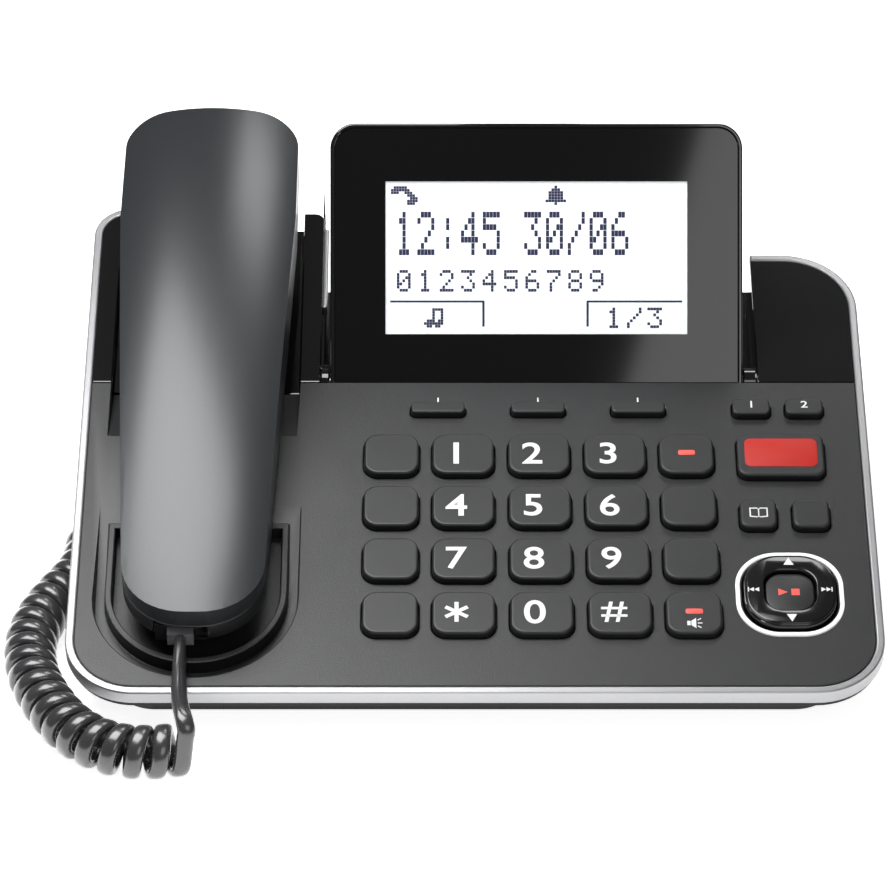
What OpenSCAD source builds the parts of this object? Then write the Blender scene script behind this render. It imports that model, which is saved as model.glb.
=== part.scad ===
// Corded desk telephone with an answering machine: a sloping base with a cradle, a keypad and a
// tilting display, a handset that lifts off, and a curly cord between the two.

/* [Body] */
// Width of the base across its side band
body_w = 236; // [230:1:242]
// Height of the face's front edge above the desk
front_h = 15; // [14.5:0.5:17]
// Slope of the face to the desk, in degrees
face_angle = 14; // [13:0.5:15]
// Length of the matt front cover along the slope
front_len = 118; // [116:0.5:122]
// Length of the handset side along the slope
tower_len = 190; // [187:1:196]
// Length of the right side along the slope
panel_len = 169.5; // [165:0.5:176]
// Radius of the front corners
front_corner_r = 18; // [14:1:20]
// Radius of the rear right corner
rear_corner_r = 20; // [14:1:24]
// Radius of the corner behind the handset
tower_corner_r = 9; // [7:0.5:11]
// Wall of the covers and the case
wall = 2.2; // [1.8:0.1:2.5]

/* [Side band] */
// Width of the band seen from above
band_t = 2.5; // [2:0.1:3]
// Height of the band
band_h = 5; // [4:0.5:6]
// Thickness of the short trim beside the display
trim_t = 1.5; // [1:0.1:1.8]
// Length of the short trim beside the display
trim_len = 34; // [26:1:36]

/* [Bottom] */
// Depth of the bottom case under the face
case_depth = 20; // [19.5:0.5:22]
// Distance of the case's sides from the band's outside
case_side_inset = 14; // [13:0.5:16]
// Distance of the case's front from the band's outside
case_front_inset = 5.5; // [4.5:0.5:8]
// Distance of the case's rear from the band's outside
case_rear_inset = 10; // [8:0.5:12]
// Thickness of the case's flange under the band
flange_t = 2; // [1.6:0.1:2.4]
// Width of the desk stand
stand_w = 176; // [160:1:184]
// Length of the desk stand
stand_len = 124; // [122:1:128]
// Distance of the stand's rear from the body's rear
stand_back = 8; // [6:1:12]
// Distance between the two wall keyholes
keyhole_pitch = 101.6; // [100:0.1:103]
// Diameter of a keyhole's round end
keyhole_d = 9; // [8:0.5:10]
// Width of a keyhole's slot
keyhole_slot = 4.6; // [4:0.1:5]
// Length that a keyhole's slot runs on from its round end's centre
keyhole_run = 8; // [7:0.5:9]
// Thickness of the rubber feet
foot_h = 1.5; // [1:0.1:2]
// Diameter of the rubber feet
foot_d = 12; // [10:0.5:14]
// Distance between the left and right feet
foot_span = 150; // [130:1:160]

/* [Cradle] */
// Distance of the cradle's centre line from the body's
cradle_x = 81; // [80:0.5:82]
// Half width of the dished recess at the mouthpiece end
dish_r = 29.7; // [29:0.1:30.5]
// Distance of the dish from the front edge
dish_s = 3.3; // [2.5:0.1:5]
// Depth of the dish and of the trough
dish_depth = 5.5; // [4.5:0.5:6]
// Half width of the raised cup round the mouthpiece
cup_r = 26.5; // [26:0.1:27]
// Thickness of the cup's rim
cup_t = 2; // [1.6:0.1:2.4]
// Distance of the cup from the front edge
cup_s = 9; // [8:0.5:10]
// Distance from the front edge to the end of the cup's arms
cup_end = 62; // [58:1:66]
// Depth of the cup's rim below the face
cup_drop = 0.5; // [0.2:0.1:1]
// Half width of the trough between the strips
trough_r = 28.4; // [28:0.1:29]
// Width of the strip between the trough and the display
finger_w = 6.3; // [6:0.1:7]

/* [Handset] */
// Length of the handset
hs_len = 196; // [192:1:200]
// Distance of its mouthpiece end from the front edge
hs_s = 14.8; // [14:0.1:16]
// Height of its seam above the face at the mouthpiece end
hs_n = 9; // [8.5:0.1:9.5]
// Slope of the handset to the face, in degrees
hs_pitch = 2; // [1.5:0.1:2.5]
// Width at the earpiece end
hs_ear_w = 53.6; // [52:0.2:54]
// Width at the mouthpiece end
hs_mic_w = 41.6; // [40:0.2:43]
// Height of the back over the seam
hs_back_h = 18; // [16:0.5:20]
// Radius of the back's curve along the handset
hs_back_r = 520; // [480:10:600]
// Radius of the back's curve across the handset
hs_crown_r = 62; // [58:1:70]
// Wall of the handset's shells
hs_wall = 2; // [1.6:0.1:2.4]
// Height of the inner shell under the seam
hs_grip_h = 6.5; // [6:0.5:7.5]
// Depth of the earpiece cup under the seam
ear_depth = 21.2; // [20.5:0.1:21.5]
// Length of the earpiece cup
ear_len = 42; // [38:1:44]
// Width of the earpiece cup
ear_w = 44; // [40:1:46]
// Distance of the earpiece cup from the mouthpiece end
ear_u = 128; // [126:1:130]
// Depth of the mouthpiece cup under the seam
mic_depth = 16.5; // [16:0.1:17]
// Length of the mouthpiece cup
mic_len = 32; // [28:1:34]
// Width of the mouthpiece cup
mic_w = 35; // [32:1:38]
// Distance of the mouthpiece cup from the end
mic_u = 17; // [16.5:0.5:19]
// Radius of the cups' corners
ear_corner_r = 12; // [8:1:14]
// Diameter of the earpiece capsule
earpiece_d = 30; // [26:1:34]
// Diameter of the microphone capsule
mouthpiece_d = 9.7; // [6:0.1:12]

/* [Keys] */
// Distance of the dial keys' centre from the body's centre
pad_x = 19.4; // [18:0.2:21]
// Distance between the columns of dial keys
pad_pitch = 22.6; // [21.6:0.1:23.2]
// Distance between the rows of keys
row_pitch = 20.5; // [19.8:0.1:21]
// Distance of the first row from the front edge
first_row_s = 25.6; // [24:0.2:27]
// Width of a dial key
key_w = 18.3; // [17:0.1:19]
// Length of a dial key
key_l = 15.7; // [14:0.1:16.5]
// Radius of a dial key's corners
key_r = 4.2; // [2:0.1:6]
// Distance of the outer columns from the dial keys' columns
side_pitch = 21.3; // [20.6:0.1:22]
// Width of the keys in the outer columns
side_key_w = 16.2; // [14:0.1:17]
// Distance between the soft keys
soft_pitch = 30.1; // [26:0.1:32]
// Distance of the soft keys from the front edge
soft_s = 105.9; // [104:0.1:107]
// Width of a soft key
soft_w = 16.1; // [13:0.1:18]
// Length of a soft key
soft_l = 4.4; // [4:0.1:5.2]
// Height of the keys over the face
key_rise = 2.3; // [1.6:0.1:3]
// Travel of a key
key_travel = 1.4; // [1:0.1:1.5]
// Distance of the navigator's centre from the body's centre
nav_x = 91.4; // [90:0.1:92.5]
// Distance of the navigator from the front edge
nav_s = 34; // [32:0.5:36]
// Diameter of the navigator rocker
nav_d = 26.7; // [24:0.1:28]
// Outer diameter of the white ring round it
ring_d = 31.4; // [30.6:0.1:33]
// Width of the white ring
ring_w = 1.3; // [0.8:0.1:1.5]
// Diameter of the key in the middle of the navigator
play_d = 14.2; // [12:0.1:16]
// Distance of the two small keys from the front edge
menu_s = 63.6; // [61:0.1:66]
// Distance between the two small keys
menu_pitch = 15.5; // [14.5:0.1:17]
// Width and length of a small key
menu_w = 10.8; // [9:0.1:11.5]
// Distance of the red key from the front edge
red_s = 86.7; // [85:0.1:88]
// Width of the red key
red_w = 25.9; // [22:0.1:28]
// Length of the red key
red_l = 16.6; // [14:0.1:17.2]
// Distance of the memory keys from the front edge
memory_s = 106.2; // [105:0.1:106.6]
// Distance between the memory keys
memory_pitch = 15.9; // [15:0.1:17]
// Width of a memory key
memory_w = 11.2; // [9:0.1:12]
// Length of a memory key
memory_l = 6.2; // [5:0.1:6.6]

/* [Display] */
// Width of the display
disp_w = 125; // [123:0.5:126]
// Height of the display above its hinge
disp_h = 78.2; // [74:0.2:82]
// Thickness of the display
disp_t = 12; // [11.5:0.1:12.6]
// Radius of the display's upper corners
disp_corner_r = 7.6; // [5:0.2:10]
// Angle between the raised display and the face, in degrees
disp_open = 42; // [40:1:44]
// Distance of the display's centre from the body's centre
disp_x = 19.1; // [18.6:0.1:19.6]
// Width of the clear window
lcd_w = 91.5; // [86:0.5:94]
// Height of the clear window
lcd_h = 46.3; // [42:0.1:49]
// Distance of the window above the hinge
lcd_u = 14.3; // [13:0.1:16]
// Depth of the recess that the display folds into
recess_depth = 14; // [13.6:0.1:14.6]
// Distance of the recess's right wall from the body's centre
recess_x = 86; // [85:0.1:87]
// Diameter of the hinge pins
hinge_d = 3; // [2.6:0.1:3.4]
// Length of a hinge pin inside the display
hinge_grip = 8; // [6:0.5:10]

/* [Inside] */
// Thickness of the circuit board
board_t = 1.6; // [1.2:0.1:2]
// Depth of the circuit board's top under the face
board_depth = 8; // [7.6:0.1:9]
// Thickness of the rubber key mat
mat_t = 1; // [0.8:0.1:1.2]
// Diameter of the base loudspeaker
speaker_d = 40; // [36:1:42]
// Height of the base loudspeaker
speaker_h = 6; // [5:0.5:7]
// Diameter of a case screw's shank
screw_d = 3; // [2.6:0.1:3.4]
// Diameter of a case screw's head
screw_head_d = 6; // [5:0.1:6.4]
// Height that the hook plunger springs up
hook_rise = 3; // [2:0.5:3]

/* [Cord] */
// Width of the flat cord
cord_w = 4.9; // [4:0.1:5]
// Thickness of the flat cord
cord_t = 3.3; // [2.4:0.1:3.5]
// Outer diameter of the curls
coil_d = 15.4; // [15:0.1:15.6]
// Distance between the curls
curl_pitch = 6; // [5.8:0.1:6.4]

/* [Hidden] */
// Running gap round the keys, and the seam between the covers
gap = 0.3;
seam = 0.2;
eps = 0.01;
$fn = 48;

half_w = body_w / 2 - band_t;
trough_x = -cradle_x;
finger_x1 = trough_x + trough_r + finger_w;
rows = 4;

// The origin lies on the desk under the middle of the object.
front_y = -band_t * cos(face_angle);
rear_y = hs_s * cos(face_angle) - hs_n * sin(face_angle) + hs_len * cos(face_angle + hs_pitch);
origin_y = (front_y + rear_y) / 2;

// Cradle: what the covers and the case keep clear of.
dish_floor = dish_depth + wall;
well_gap = 0.3;
well_side = 2;
mic_floor = 10;
ear_floor = 10.4;
ear_block_s = hs_s + ear_u - 6;
grip_r = 20.5;
fade_s0 = 44;
fade_s1 = 68;
fade_s2 = 96;

// Handset.
hs_mic_r = 19;
hs_ear_r = 13;
hs_taper_u = 150;
hs_top_u = 108;
socket_x = -3.4;
socket_u = 1.5;
socket_w = 15;
socket_len = 15;
socket_h = 7;
socket_wz = -5;
plug_w = 7.6;
plug_h = 5;
plug_len = 11.5;
plug_gap = 0.15;
capsule_h = 5;
sound_hole_d = 2;

// Keys: a cap through the cover, a flange that holds it from above, and a stem over the mat.
flange_w = 1.2;
key_flange_t = 1.2;
cap_edge = 0.6;
stem_d = 3.4;
stem_clear = 0.1;
soft_r = 1.4;
memory_r = 1.8;
menu_r = 2.4;
red_r = 3;
nav_gap = 0.5;
nav_r = 10.6;
ring_r = 12.6;
play_r = 5;
nav_pivot_n = -3;
nav_rise = 2.4;
play_rise = 1.2;
play_gap = 0.5;
ring_h = 0.5;
gimbal_d = 19.6;
gimbal_w = 1.2;
gimbal_t = 1.4;
gimbal_gap = 0.6;

// Display: its hinge lies behind the front cover's edge and under the face.
hinge_s = front_len + 4.9;
hinge_n = -5;
disp_front = 5;
disp_below = 1.8;
disp_foot_r = 1.2;
disp_wall = 2;
bezel_t = 2.5;
lens_t = 1;
lens_edge = 1.4;
lens_drop = 0.2;
lcd_t = 2.2;
lcd_border = 3;
hinge_x0 = disp_x - disp_w / 2;
hinge_x1 = disp_x + disp_w / 2;
hinge_boss_d = 8;
hinge_fit = 0.05;
recess_s = front_len - 3.5;

// Hook plunger, under the earpiece cup.
hook_s = hs_s + ear_u + 8;
hook_w = 10;
hook_l = 5;
hook_top = hs_n + (hook_s - hs_s) * tan(hs_pitch) - ear_depth - 0.2;
hook_flange_t = 1.2;
hook_flange_n = -ear_floor - hook_rise - 0.2;

// Case.
case_x = body_w / 2 - case_side_inset;
case_front = case_front_inset - band_t;
case_tower = tower_len + band_t - case_rear_inset;
case_panel = panel_len + band_t - case_rear_inset;
case_r = 12;
case_jack_r = 4;
case_tower_x = finger_x1 - 6;
flange_edge = 0.8;
floor_n = wall - case_depth;
part_gap = 0.2;
boss_d = 6.5;
screw_head_h = 1.6;
screw_len = 7;
screw_places = [[-41, 54], [-41, 102], [98, 73.7], [98, 140], [trough_x, 171]];
board_x0 = -35;
board_x1 = case_x - wall - 0.6;
board_s0 = 15;
board_s1 = front_len - 9;
post_d = 5;
post_places = [[-28, 36], [-28, 94], [52, 36], [52, 94], [88, 54]];
switch_w = 12;
switch_l = 8;
speaker_s = 92;
speaker_slot = 2;

// Sockets.
jack_clear = 0.6;
jack_x = -108.2;
jack_s = 104;
jack_n = -15.5;
jack_w = 12;
jack_h = 9.6;
jack_len = 12;
jack_plug_s = jack_s - 5;
line_w = 12.4;
line_h = 10.4;
line_len = 13.6;
line_x = case_x - wall - line_w / 2 - jack_clear;
line_mouth_w = 9.7;
line_mouth_h = 6.8;
power_w = 9;
power_h = 6.8;
power_len = 12;
power_x = case_tower_x - case_r - power_w / 2;
power_d = 5.5;
power_pin_d = 1.4;

// Stand and feet.
stand_y1 = case_panel * cos(face_angle) + case_depth * sin(face_angle) - stand_back - origin_y;
stand_y0 = stand_y1 - stand_len;
foot_front_y = 17 - origin_y;
foot_rear_y = stand_y1 - foot_d / 2 - 3;

// Each key: name, place across, place up the slope, width, length, corner radius.
DIGITS = ["1", "2", "3", "4", "5", "6", "7", "8", "9", "star", "0", "hash"];
function row_s(i) = first_row_s + (rows - 1 - i) * row_pitch;
PAD_KEYS = [for (i = [0 : 11])
    [str("key_", DIGITS[i]), pad_x + (i % 3 - 1) * pad_pitch, row_s(floor(i / 3)), key_w, key_l, key_r]];
LEFT_KEYS = [for (i = [0 : rows - 1])
    [str("left_key_", i + 1), pad_x - pad_pitch - side_pitch, row_s(i), side_key_w, key_l, key_r]];
RIGHT_KEYS = [for (i = [0 : rows - 1])
    [str("right_key_", i + 1), pad_x + pad_pitch + side_pitch, row_s(i), side_key_w, key_l, key_r]];
SOFT_KEYS = [for (i = [0 : 2])
    [str("soft_key_", i + 1), pad_x + (i - 1) * soft_pitch, soft_s, soft_w, soft_l, soft_r]];
MEMORY_KEYS = [for (i = [0, 1])
    [str("memory_key_", i + 1), nav_x + (i - 0.5) * memory_pitch, memory_s, memory_w, memory_l, memory_r]];
MENU_KEYS = [for (i = [0, 1])
    [str("menu_key_", i + 1), nav_x + (i - 0.5) * menu_pitch, menu_s, menu_w, menu_w, menu_r]];
RED_KEYS = [["red_key", nav_x, red_s, red_w, red_l, red_r]];
KEYS = concat(PAD_KEYS, LEFT_KEYS, RIGHT_KEYS, SOFT_KEYS, MEMORY_KEYS, MENU_KEYS, RED_KEYS);

// The cord's route: the lead from the handset, the middle line of the curls, the tail to the base.
lead_route = [
    [-84.4, -86.8, 22.17], [-84.4, -90.4, 21.1], [-84.4, -94.0, 20.2], [-84.3, -98.5, 19.5],
    [-84.1, -103.5, 19.2], [-83.8, -108.5, 19.2], [-83.2, -113.5, 19.5], [-82.4, -118.2, 19.8],
    [-81.6, -121.5, 19.2], [-81.106, -123.038, 17.826], [-81.302, -123.271, 16.357]];
coil_route = [
    [-83, -119, 7.8], [-92, -120.4, 7.8], [-101, -119.3, 7.8], [-109, -115, 7.8], [-116, -108, 7.8],
    [-122, -98, 7.8], [-126.6, -87, 7.8], [-129, -76, 7.8], [-129, -65, 7.8], [-126.4, -54, 7.8],
    [-122, -44, 7.8], [-117.6, -35, 7.8], [-115.4, -26, 7.8], [-115.2, -17, 7.8]];
tail_route = [
    [-107.019, -16.076, 12.953], [-106.604, -15.899, 13.956], [-106.9, -15.2, 16.2], [-107.3, -13.3, 18.9],
    [-107.6, -10.1, 21.0], [-108, -6.5, 22.1], [-108.2, -2.9, 23.0], [-108.2, 0.7, 23.9]];
lead_gap = [0, 0.1, 0.03];
coil_steps = 8;
coil_sides = 6;
lead_sides = 8;
coil_start_angle = -30;
coil_end_angle = 180;

// ---------------------------------------------------------------- frames and outlines

// Local x across, y up the slope from the front edge, z out of the face.
module on_face() {
    translate([0, -origin_y, front_h]) rotate([face_angle, 0, 0]) children();
}

// Inside the face's frame: local y along the handset from its mouthpiece end, z out of its back.
module at_handset() {
    translate([trough_x, hs_s, hs_n]) rotate([hs_pitch, 0, 0]) children();
}

module on_handset() {
    on_face() at_handset() children();
}

// Local y up the display from its hinge, z out of its screen.
module on_display() {
    on_face() translate([disp_x, hinge_s, hinge_n]) rotate([disp_open, 0, 0]) children();
}

// A rectangle with a radius at each corner: front left, front right, rear right, rear left.
module rounded(x0, x1, y0, y1, r) {
    polygon([[x0 + r[0], y0], [x1 - r[1], y0], [x1, y0 + r[1]], [x1, y1 - r[2]],
             [x1 - r[2], y1], [x0 + r[3], y1], [x0, y1 - r[3]], [x0, y0 + r[0]]]);
    translate([x0 + r[0], y0 + r[0]]) circle(r[0]);
    translate([x1 - r[1], y0 + r[1]]) circle(r[1]);
    translate([x1 - r[2], y1 - r[2]]) circle(r[2]);
    translate([x0 + r[3], y1 - r[3]]) circle(r[3]);
}

module plate(w, l, r) {
    rounded(-w / 2, w / 2, -l / 2, l / 2, [r, r, r, r]);
}

// A flat outline given the height from z0 to z1.
module slab(z0, z1) {
    translate([0, 0, z0]) linear_extrude(z1 - z0) children();
}

// An outline drawn along y and z, run across x.
module across(w) {
    rotate([90, 0, 90]) linear_extrude(w, center = true) children();
}

module box(x0, x1, y0, y1, z0, z1) {
    translate([x0, y0, z0]) cube([x1 - x0, y1 - y0, z1 - z0]);
}

// Everything above a height over the desk.
module above(z) {
    box(-body_w, body_w, -body_w, body_w, z, body_w);
}

// The face's outline, d larger all round.
module deck(d) {
    rounded(-half_w - d, half_w + d, -d, panel_len + d,
        [front_corner_r + d, front_corner_r + d, rear_corner_r + d, 1]);
    rounded(-half_w - d, finger_x1, panel_len - 2 * rear_corner_r, tower_len + d,
        [1, 1, 3, tower_corner_r + d]);
}

// A half round end with straight sides up the slope, as of the dish and the cup.
module arch(r, s0, s1) {
    translate([trough_x, s0 + r]) circle(r);
    translate([trough_x - r, s0 + r]) square([2 * r, s1 - s0 - r]);
}

// ---------------------------------------------------------------- cradle

// Outside of the cradle's moulding under the face, d larger all round.
module cradle_front(d) {
    slab(-dish_floor - d, -wall) arch(dish_r + wall + d, dish_s - wall, front_len - seam / 2);
    slab(-mic_floor - d, -wall) arch(cup_r + d, cup_s, cup_end + 2 + d);
}

module cradle_rear(d) {
    rear_s = tower_len + (d > 0 ? 2 * band_t : -wall);
    box(trough_x - trough_r - wall - d, finger_x1 + d, front_len + seam / 2, rear_s, -dish_floor - d, -wall);
    box(trough_x - trough_r + 2 - d, trough_x + trough_r - 2 + d, ear_block_s - d, rear_s,
        -ear_floor - d, -wall);
}

// Outside of the display's recess under the face, d larger all round.
module recess_block(d) {
    box(finger_x1 - wall - d, recess_x + wall + d, recess_s - wall - d, panel_len + (d > 0 ? rear_corner_r : 0),
        -recess_depth - wall - d, -wall - seam);
}

// The well that one of the handset's cups sits in.
module cup_well(depth, w, l, u) {
    at_handset() slab(-depth - well_gap, 60)
        translate([0, u + l / 2]) plate(w + 2 * well_side, l + 2 * well_side, ear_corner_r);
}

// What is cut for the dish: it fades out up the slope, and opens again towards the rear cover.
module dish_space() {
    intersection() {
        slab(-dish_depth, eps) children();
        translate([trough_x, 0, 0]) across(4 * dish_r) polygon([
            [-dish_r, -dish_depth], [fade_s0, -dish_depth], [fade_s1, eps], [-dish_r, eps]]);
    }
}

module cradle_dish() {
    dish_space() difference() {
        arch(dish_r, dish_s, front_len + 1);
        arch(cup_r, cup_s, cup_end);
    }
    slab(-cup_drop, eps) arch(cup_r, cup_s, cup_end);
    slab(-dish_depth, eps) {
        arch(cup_r - cup_t, cup_s + cup_t, cup_end - cup_t);
        translate([trough_x - grip_r, cup_end - 2 * cup_t]) square([2 * grip_r, front_len]);
    }
    translate([trough_x, 0, 0]) across(2 * trough_r) polygon([
        [fade_s2, eps], [front_len + 1, -dish_depth - 0.2], [front_len + 1, eps]]);
    cup_well(mic_depth, mic_w, mic_len, mic_u);
}

// ---------------------------------------------------------------- covers, band and case

module key_openings() {
    for (k = KEYS)
        translate([k[1], k[2]]) plate(k[3] + 2 * gap, k[4] + 2 * gap, k[5] + gap);
    translate([nav_x, nav_s]) plate(nav_d + 2 * nav_gap, nav_d + 2 * nav_gap, nav_r + nav_gap);
}

module ring_outline() {
    translate([nav_x, nav_s]) difference() {
        plate(ring_d, ring_d, ring_r);
        plate(ring_d - 2 * ring_w, ring_d - 2 * ring_w, ring_r - ring_w);
    }
}

module front_outline(inset) {
    intersection() {
        deck(-inset);
        translate([-body_w / 2, 0]) square([body_w, front_len - seam / 2 - inset]);
    }
}

module rear_outline(inset) {
    intersection() {
        deck(-inset);
        translate([-body_w / 2, front_len + seam / 2 + inset]) square([body_w, tower_len]);
    }
}

module cover_bosses(s0, s1) {
    for (p = screw_places) if (p[1] > s0 && p[1] < s1)
        translate([p[0], p[1]]) slab(floor_n, -wall) circle(boss_d / 2);
}

module cover_boss_holes(s0, s1) {
    for (p = screw_places) if (p[1] > s0 && p[1] < s1)
        translate([p[0], p[1]]) slab(floor_n - eps, floor_n + screw_len) circle(screw_d / 2);
}

// A cover's skin with the wall that hangs from its edge.
module cover_shell() {
    slab(-wall, 0) children(0);
    slab(-band_h, -wall) difference() {
        children(0);
        children(1);
    }
}

module front_cover() {
    color([0.2, 0.21, 0.22]) on_face() difference() {
        union() {
            cover_shell() {
                front_outline(0);
                front_outline(wall);
            }
            cradle_front(0);
            cover_bosses(0, front_len);
        }
        cradle_dish();
        slab(-wall - eps, eps) key_openings();
        slab(-ring_h, eps) ring_outline();
        cover_boss_holes(0, front_len);
        for (x = [finger_x1 - wall, recess_x])
            box(x - part_gap, x + wall + part_gap, recess_s - wall, front_len + 1, -band_h - 1, -wall - eps);
    }
}

module rear_cover() {
    color([0.05, 0.055, 0.06]) on_face() difference() {
        union() {
            cover_shell() {
                rear_outline(0);
                rear_outline(wall);
            }
            cradle_rear(0);
            recess_block(0);
            box(recess_x, recess_x + wall, front_len + seam / 2, panel_len - wall, -recess_depth, -wall);
            cover_bosses(front_len, tower_len);
        }
        box(trough_x - trough_r, trough_x + trough_r, front_len - 1, tower_len + 1, -dish_depth, 1);
        cup_well(ear_depth, ear_w, ear_len, ear_u);
        difference() {
            box(finger_x1, recess_x, recess_s, panel_len + 1, -recess_depth, 1);
            hinge_bosses();
        }
        hinge_line(finger_x1 - wall, recess_x + wall) circle(hinge_d / 2);
        translate([trough_x, hook_s]) slab(-ear_floor - 1, 0) plate(hook_w + 2 * gap, hook_l + 2 * gap, 1);
        cover_boss_holes(front_len, tower_len);
    }
}

module side_band() {
    color([0.75, 0.75, 0.76]) on_face() {
        slab(-band_h, 0) difference() {
            deck(band_t);
            deck(0);
            translate([trough_x - trough_r, front_len]) square([recess_x - trough_x + trough_r, tower_len]);
        }
        box(finger_x1, finger_x1 + trim_t, tower_len - 6 - trim_len, tower_len - 6, -band_h, -cap_edge);
    }
}

module case_outline(inset) {
    r = case_r - inset;
    rounded(-case_x + inset, case_x - inset, case_front + inset, case_panel - inset,
        [r, r, case_jack_r - inset, r]);
    rounded(-case_x + inset, case_tower_x - inset, case_panel - 60, case_tower - inset, [r, r, r, r]);
}

module jack_pod(d) {
    box(jack_x - jack_w / 2 - d, jack_x + jack_w / 2 + d, jack_s, jack_s + jack_len + d,
        jack_n - jack_h / 2 - d, jack_n + jack_h / 2 + d);
}

module bottom_case() {
    color([0.06, 0.06, 0.065]) {
        intersection() {
            above(foot_h);
            difference() {
                on_face() {
                    slab(-case_depth, -band_h - flange_t) case_outline(0);
                    slab(-band_h - flange_t, -band_h) deck(band_t - flange_edge);
                    jack_pod(wall);
                }
                intersection() {
                    above(foot_h + wall);
                    on_face() slab(floor_n, eps) case_outline(wall);
                }
                on_face() {
                    cradle_front(part_gap);
                    cradle_rear(part_gap);
                    recess_block(part_gap);
                    jack_pod(0);
                    slab(-band_h - flange_t - eps, eps) translate([finger_x1, case_panel - wall])
                        square([recess_x - finger_x1, tower_len + wall + band_t - case_panel]);
                    box(line_x - line_mouth_w / 2, line_x + line_mouth_w / 2, case_panel - wall - 1,
                        case_panel + 1, floor_n + 2, floor_n + 2 + line_mouth_h);
                    translate([power_x, case_tower - wall - 1, floor_n + power_h / 2])
                        rotate([-90, 0, 0]) cylinder(h = wall + 2, d = power_d + 1);
                    for (p = screw_places)
                        translate([p[0], p[1]]) slab(-case_depth - eps, floor_n + eps) circle(screw_d / 2);
                    for (i = [-2 : 2]) translate([trough_x, speaker_s + i * 3 * speaker_slot])
                        slab(-case_depth - eps, floor_n + eps) plate(speaker_d * 0.6, speaker_slot, 0.9);
                }
            }
        }
        intersection() {
            above(foot_h + eps);
            on_face() for (p = post_places)
                translate([p[0], p[1]]) slab(-case_depth + wall / 2, -board_depth - board_t) circle(post_d / 2);
        }
    }
}

module keyhole() {
    circle(keyhole_d / 2);
    translate([-keyhole_slot / 2, 0]) square([keyhole_slot, keyhole_run]);
}

module desk_stand() {
    r = 8;
    color([0.08, 0.08, 0.085]) difference() {
        slab(foot_h, body_w) rounded(-stand_w / 2, stand_w / 2, stand_y0, stand_y1, [r, r, r, r]);
        slab(foot_h + wall, body_w)
            rounded(-stand_w / 2 + wall, stand_w / 2 - wall, stand_y0 + wall, stand_y1 - wall,
                [r - wall, r - wall, r - wall, r - wall]);
        on_face() box(-body_w, body_w, -body_w, 2 * body_w, -case_depth, body_w);
        for (i = [-0.5, 0.5]) translate([0, (stand_y0 + stand_y1) / 2 + i * keyhole_pitch])
            slab(foot_h - eps, foot_h + wall + eps) keyhole();
    }
}

module rubber_feet() {
    color([0.12, 0.12, 0.12]) for (x = [-0.5, 0.5], y = [foot_front_y, foot_rear_y])
        translate([x * foot_span, y]) cylinder(h = foot_h, d = foot_d);
}

module case_screws() {
    color([0.7, 0.7, 0.72]) on_face() for (p = screw_places) translate([p[0], p[1], -case_depth]) {
        cylinder(h = wall + screw_len - 0.5, d = screw_d);
        translate([0, 0, -screw_head_h]) cylinder(h = screw_head_h, d = screw_head_d);
    }
}

// ---------------------------------------------------------------- inside the base

module board_clearance(z0, z1) {
    for (p = screw_places)
        translate([p[0], p[1]]) slab(z0, z1) circle(boss_d / 2 + 0.6);
}

module main_board() {
    top = -board_depth;
    color([0.1, 0.35, 0.2]) on_face() {
        difference() {
            box(board_x0, board_x1, board_s0, board_s1, top - board_t, top);
            board_clearance(top - board_t - 1, top + 1);
        }
        // main chip, memory, transformer and microphone under the board
        chip_s = (board_s0 + board_s1) / 2;
        box(pad_x - 20, pad_x - 6, chip_s - 7, chip_s + 7, top - board_t - 1.6, top - board_t);
        box(pad_x + 4, pad_x + 14, chip_s - 5, chip_s + 5, top - board_t - 1.6, top - board_t);
        box(pad_x + 40, pad_x + 56, board_s1 - 35, board_s1 - 21, top - board_t - 5.4, top - board_t);
        translate([pad_x - 29, board_s0 + 7, top - board_t - 3]) cylinder(h = 3, d = 6);
        // the hook switch on its own small board
        translate([trough_x, hook_s]) {
            slab(floor_n, floor_n + 1) plate(switch_w, switch_l, 1);
            slab(floor_n + 1, hook_flange_n - hook_flange_t - 0.3) plate(hook_w - 2, hook_l, 1);
        }
    }
}

module key_mat() {
    color([0.55, 0.56, 0.58]) on_face() difference() {
        box(board_x0 + 1, board_x1, board_s0 + 1, board_s1, -board_depth, mat_t - board_depth);
        board_clearance(-board_depth - 1, mat_t);
    }
}

module base_speaker() {
    color([0.15, 0.15, 0.16]) on_face() translate([trough_x, speaker_s, floor_n]) {
        cylinder(h = 2, d = speaker_d);
        translate([0, 0, 2]) cylinder(h = speaker_h - 2, d = speaker_d * 0.55);
    }
}

module rear_jacks() {
    color([0.3, 0.3, 0.32]) on_face() {
        difference() {
            box(line_x - line_w / 2, line_x + line_w / 2, case_panel - wall - line_len,
                case_panel - wall - jack_clear, floor_n, floor_n + line_h);
            box(line_x - line_mouth_w / 2, line_x + line_mouth_w / 2, case_panel - wall - line_len + 2,
                case_panel, floor_n + 2, floor_n + 2 + line_mouth_h);
        }
        translate([power_x, case_tower - wall, floor_n]) {
            difference() {
                box(-power_w / 2, power_w / 2, -power_len, 0, 0, power_h);
                translate([0, eps, power_h / 2]) rotate([90, 0, 0]) cylinder(h = 9, d = power_d);
            }
            translate([0, -9, power_h / 2]) rotate([-90, 0, 0]) cylinder(h = 8, d = power_pin_d);
        }
    }
}

// A modular socket's block with the mouth that its plug enters, mouth towards -y.
module modular_socket(w, l, h) {
    difference() {
        box(-w / 2, w / 2, 0, l, -h / 2, h / 2);
        box(-plug_w / 2 - plug_gap, plug_w / 2 + plug_gap, -1, l - 1.5, -plug_h / 2 - plug_gap,
            plug_h / 2 + plug_gap);
    }
}

module modular_plug() {
    box(-plug_w / 2, plug_w / 2, 0, plug_len, -plug_h / 2, plug_h / 2);
}

module handset_jack() {
    color([0.12, 0.12, 0.13]) on_face() translate([jack_x, jack_s, jack_n])
        modular_socket(jack_w, jack_len, jack_h);
}

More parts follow.
